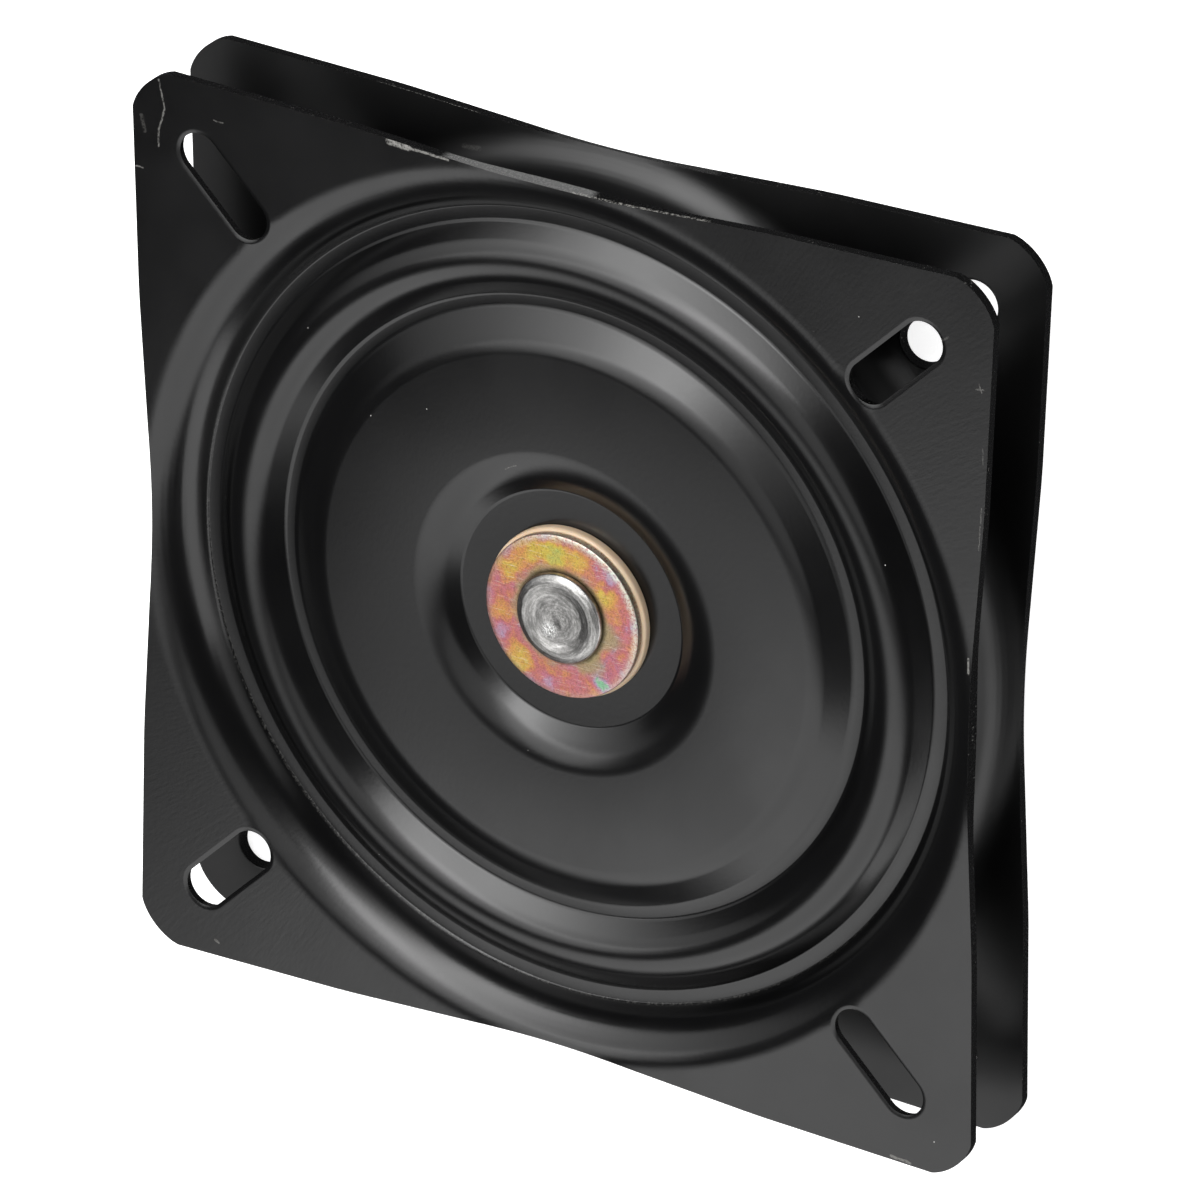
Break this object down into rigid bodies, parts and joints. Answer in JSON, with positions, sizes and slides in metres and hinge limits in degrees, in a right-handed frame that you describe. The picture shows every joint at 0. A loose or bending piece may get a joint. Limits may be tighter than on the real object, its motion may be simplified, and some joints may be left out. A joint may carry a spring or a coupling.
{
  "type": "boat seat swivel",
  "caption": "Flat square seat swivel: pressed black steel plates that turn on caged balls about a centre rivet, with diagonal mounting slots.",
  "frame": {"origin": "on the swivel axis, in the plane of the base plate's mounting corners", "axes": "+Z along the swivel axis from the base plate to the seat plate; X and Y along the plates' sides"},
  "size_m": [0.1776, 0.1776, 0.021],
  "materials": {
    "black_paint": "semi-gloss black paint on pressed sheet steel",
    "ball_steel": "polished bearing steel",
    "retainer_steel": "plain strip steel",
    "rivet_steel": "bare steel, peened on its formed head",
    "tan_plastic": "tan bearing plastic",
    "yellow_zinc": "yellow passivated zinc with a blotched sheen"
  },
  "bodies": {
    "base": {"base_plate": "black_paint", "rivet": "rivet_steel", "head_washer": "yellow_zinc", "thrust_washer": "tan_plastic"},
    "seat": {"seat_plate": "black_paint", "flanged_bush": "tan_plastic"},
    "ball_ring": {"bearing_balls": "ball_steel", "ball_retainer": "retainer_steel"}
  },
  "joints": [
    {"name": "seat_swivel", "type": "hinge", "parent": "base", "child": "seat", "pos_m": [0, 0, 0.0105], "axis": [0, 0, 1], "continuous": true},
    {"name": "ball_ring_roll", "type": "hinge", "parent": "base", "child": "ball_ring", "pos_m": [0, 0, 0.0105], "axis": [0, 0, 1], "continuous": true}
  ],
  "couplings": [
    {"joint": "ball_ring_roll", "follows": "seat_swivel", "ratio": 0.5}
  ]
}
